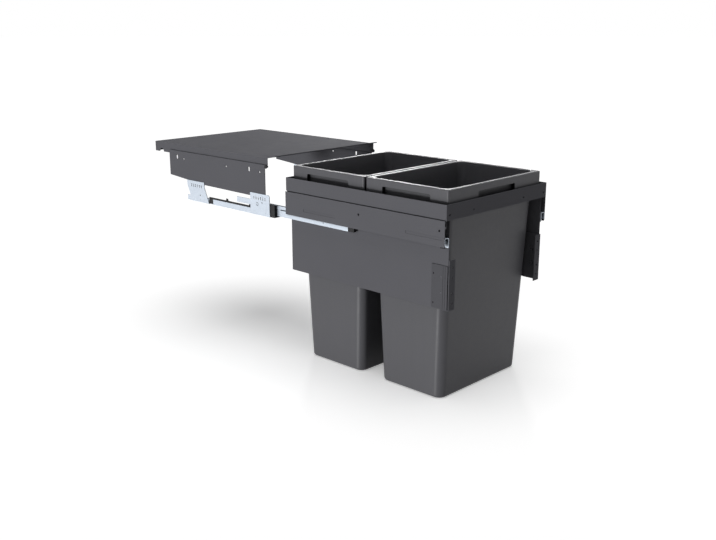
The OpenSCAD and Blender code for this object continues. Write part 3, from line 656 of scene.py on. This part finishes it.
FLOOR_RADIUS = 40
FLOOR_SIDES = 96
FLOOR_DROP = 0.0005      # keeps the floor clear of the bins' undersides
FLOOR_BOUNCE = 0.42      # the floor's grey for light that it throws on the object
FLOOR_LIFT = 0.33        # what the lamps leave short of white on the open floor
SOFT_LIGHT = 0.07        # strength of the light from all round
BACKDROP = 1.0           # strength of the white that the camera sees


def seen_directly(tree):
    """1 for rays from the camera or off gloss and glass, 0 for the soft light on the object."""
    path = tree.nodes.new("ShaderNodeLightPath")
    share = path.outputs["Is Camera Ray"]
    for name in ("Is Glossy Ray", "Is Transmission Ray"):
        larger = tree.nodes.new("ShaderNodeMath")
        larger.operation = "MAXIMUM"
        tree.links.new(share, larger.inputs[0])
        tree.links.new(path.outputs[name], larger.inputs[1])
        share = larger.outputs[0]
    return share


def floor():
    """A pale floor that meets the white backdrop and keeps the object's soft shadow."""
    mesh = bmesh.new()
    bmesh.ops.create_circle(mesh, cap_ends=True, segments=FLOOR_SIDES, radius=FLOOR_RADIUS)
    piece = new_piece("studio_floor", mesh)
    piece.location.z = -FLOOR_DROP
    n = Nodes("pale_floor")
    seen = seen_directly(n.tree)
    n.join(n.ramp(seen, neutral(FLOOR_BOUNCE), neutral(1.0)), n.shader.inputs["Base Color"])
    n.shader.inputs["Roughness"].default_value = 0.9
    n.shader.inputs["Specular IOR Level"].default_value = 0.0
    n.shader.inputs["Emission Color"].default_value = (1, 1, 1, 1)
    lift = n.spread(seen, 0.0, FLOOR_LIFT, start=0.0, end=1.0)
    n.join(lift, n.shader.inputs["Emission Strength"])
    piece.data.materials.append(n.material)
    piece.visible_shadow = False    # the low key light comes up past it, like light off a white floor


def world():
    """Soft light from all round; seen directly or mirrored it is a white backdrop."""
    scene_world = bpy.data.worlds.new("studio")
    bpy.context.scene.world = scene_world
    scene_world.use_nodes = True
    tree = scene_world.node_tree
    tree.nodes.clear()
    output = tree.nodes.new("ShaderNodeOutputWorld")
    mix = tree.nodes.new("ShaderNodeMixShader")
    tree.links.new(seen_directly(tree), mix.inputs[0])
    for place, strength in ((1, SOFT_LIGHT), (2, BACKDROP)):
        shade_of_white = tree.nodes.new("ShaderNodeBackground")
        shade_of_white.inputs["Color"].default_value = (1, 1, 1, 1)
        shade_of_white.inputs["Strength"].default_value = strength
        tree.links.new(shade_of_white.outputs[0], mix.inputs[place])
    tree.links.new(mix.outputs[0], output.inputs["Surface"])


def lamp(name, towards, strength, softness):
    """A distant lamp that shines along the given direction; softness is its width in degrees."""
    data = bpy.data.lights.new(name, "SUN")
    data.energy = strength
    data.angle = math.radians(softness)
    piece = bpy.data.objects.new(name, data)
    piece.rotation_euler = Vector(towards).to_track_quat("-Z", "Y").to_euler()
    bpy.context.scene.collection.objects.link(piece)


def lamps():
    lamp("overhead", towards=(0.0, 0.0, -1.0), strength=1.75, softness=60)
    lamp("key_left", towards=(0.955, -0.19, 0.21), strength=2.2, softness=10)
    lamp("fill_left", towards=(0.90, -0.10, -0.42), strength=0.32, softness=20)
    lamp("fill_front", towards=(-0.05, 1.0, -0.06), strength=0.2, softness=12)
    lamp("rim_light_back", towards=(-0.70, -0.62, -0.34), strength=0.5, softness=6)


# Camera: its place and turn were fitted to the photo's edges and corners

CAMERA_PLACE = (-1.76144, -1.77238, 0.88710)
CAMERA_YAW = 46.31       # degrees from +Y towards +X
CAMERA_PITCH = 15.51     # degrees down
CAMERA_LENS = 45.95      # millimetres, as is the sensor
SENSOR_WIDTH = 36
NEAREST = 0.05
FARTHEST = 200


def camera():
    data = bpy.data.cameras.new("photo_camera")
    data.sensor_width = SENSOR_WIDTH
    data.sensor_fit = "HORIZONTAL"
    data.lens = CAMERA_LENS
    data.clip_start = NEAREST
    data.clip_end = FARTHEST
    piece = bpy.data.objects.new("photo_camera", data)
    yaw = math.radians(CAMERA_YAW)
    pitch = math.radians(CAMERA_PITCH)
    forward = Vector((
        math.sin(yaw) * math.cos(pitch),
        math.cos(yaw) * math.cos(pitch),
        -math.sin(pitch),
    ))
    piece.location = CAMERA_PLACE
    piece.rotation_euler = forward.to_track_quat("-Z", "Y").to_euler()
    bpy.context.scene.collection.objects.link(piece)
    bpy.context.scene.camera = piece


floor()
world()
lamps()
camera()
bpy.context.scene.view_settings.view_transform = "Standard"
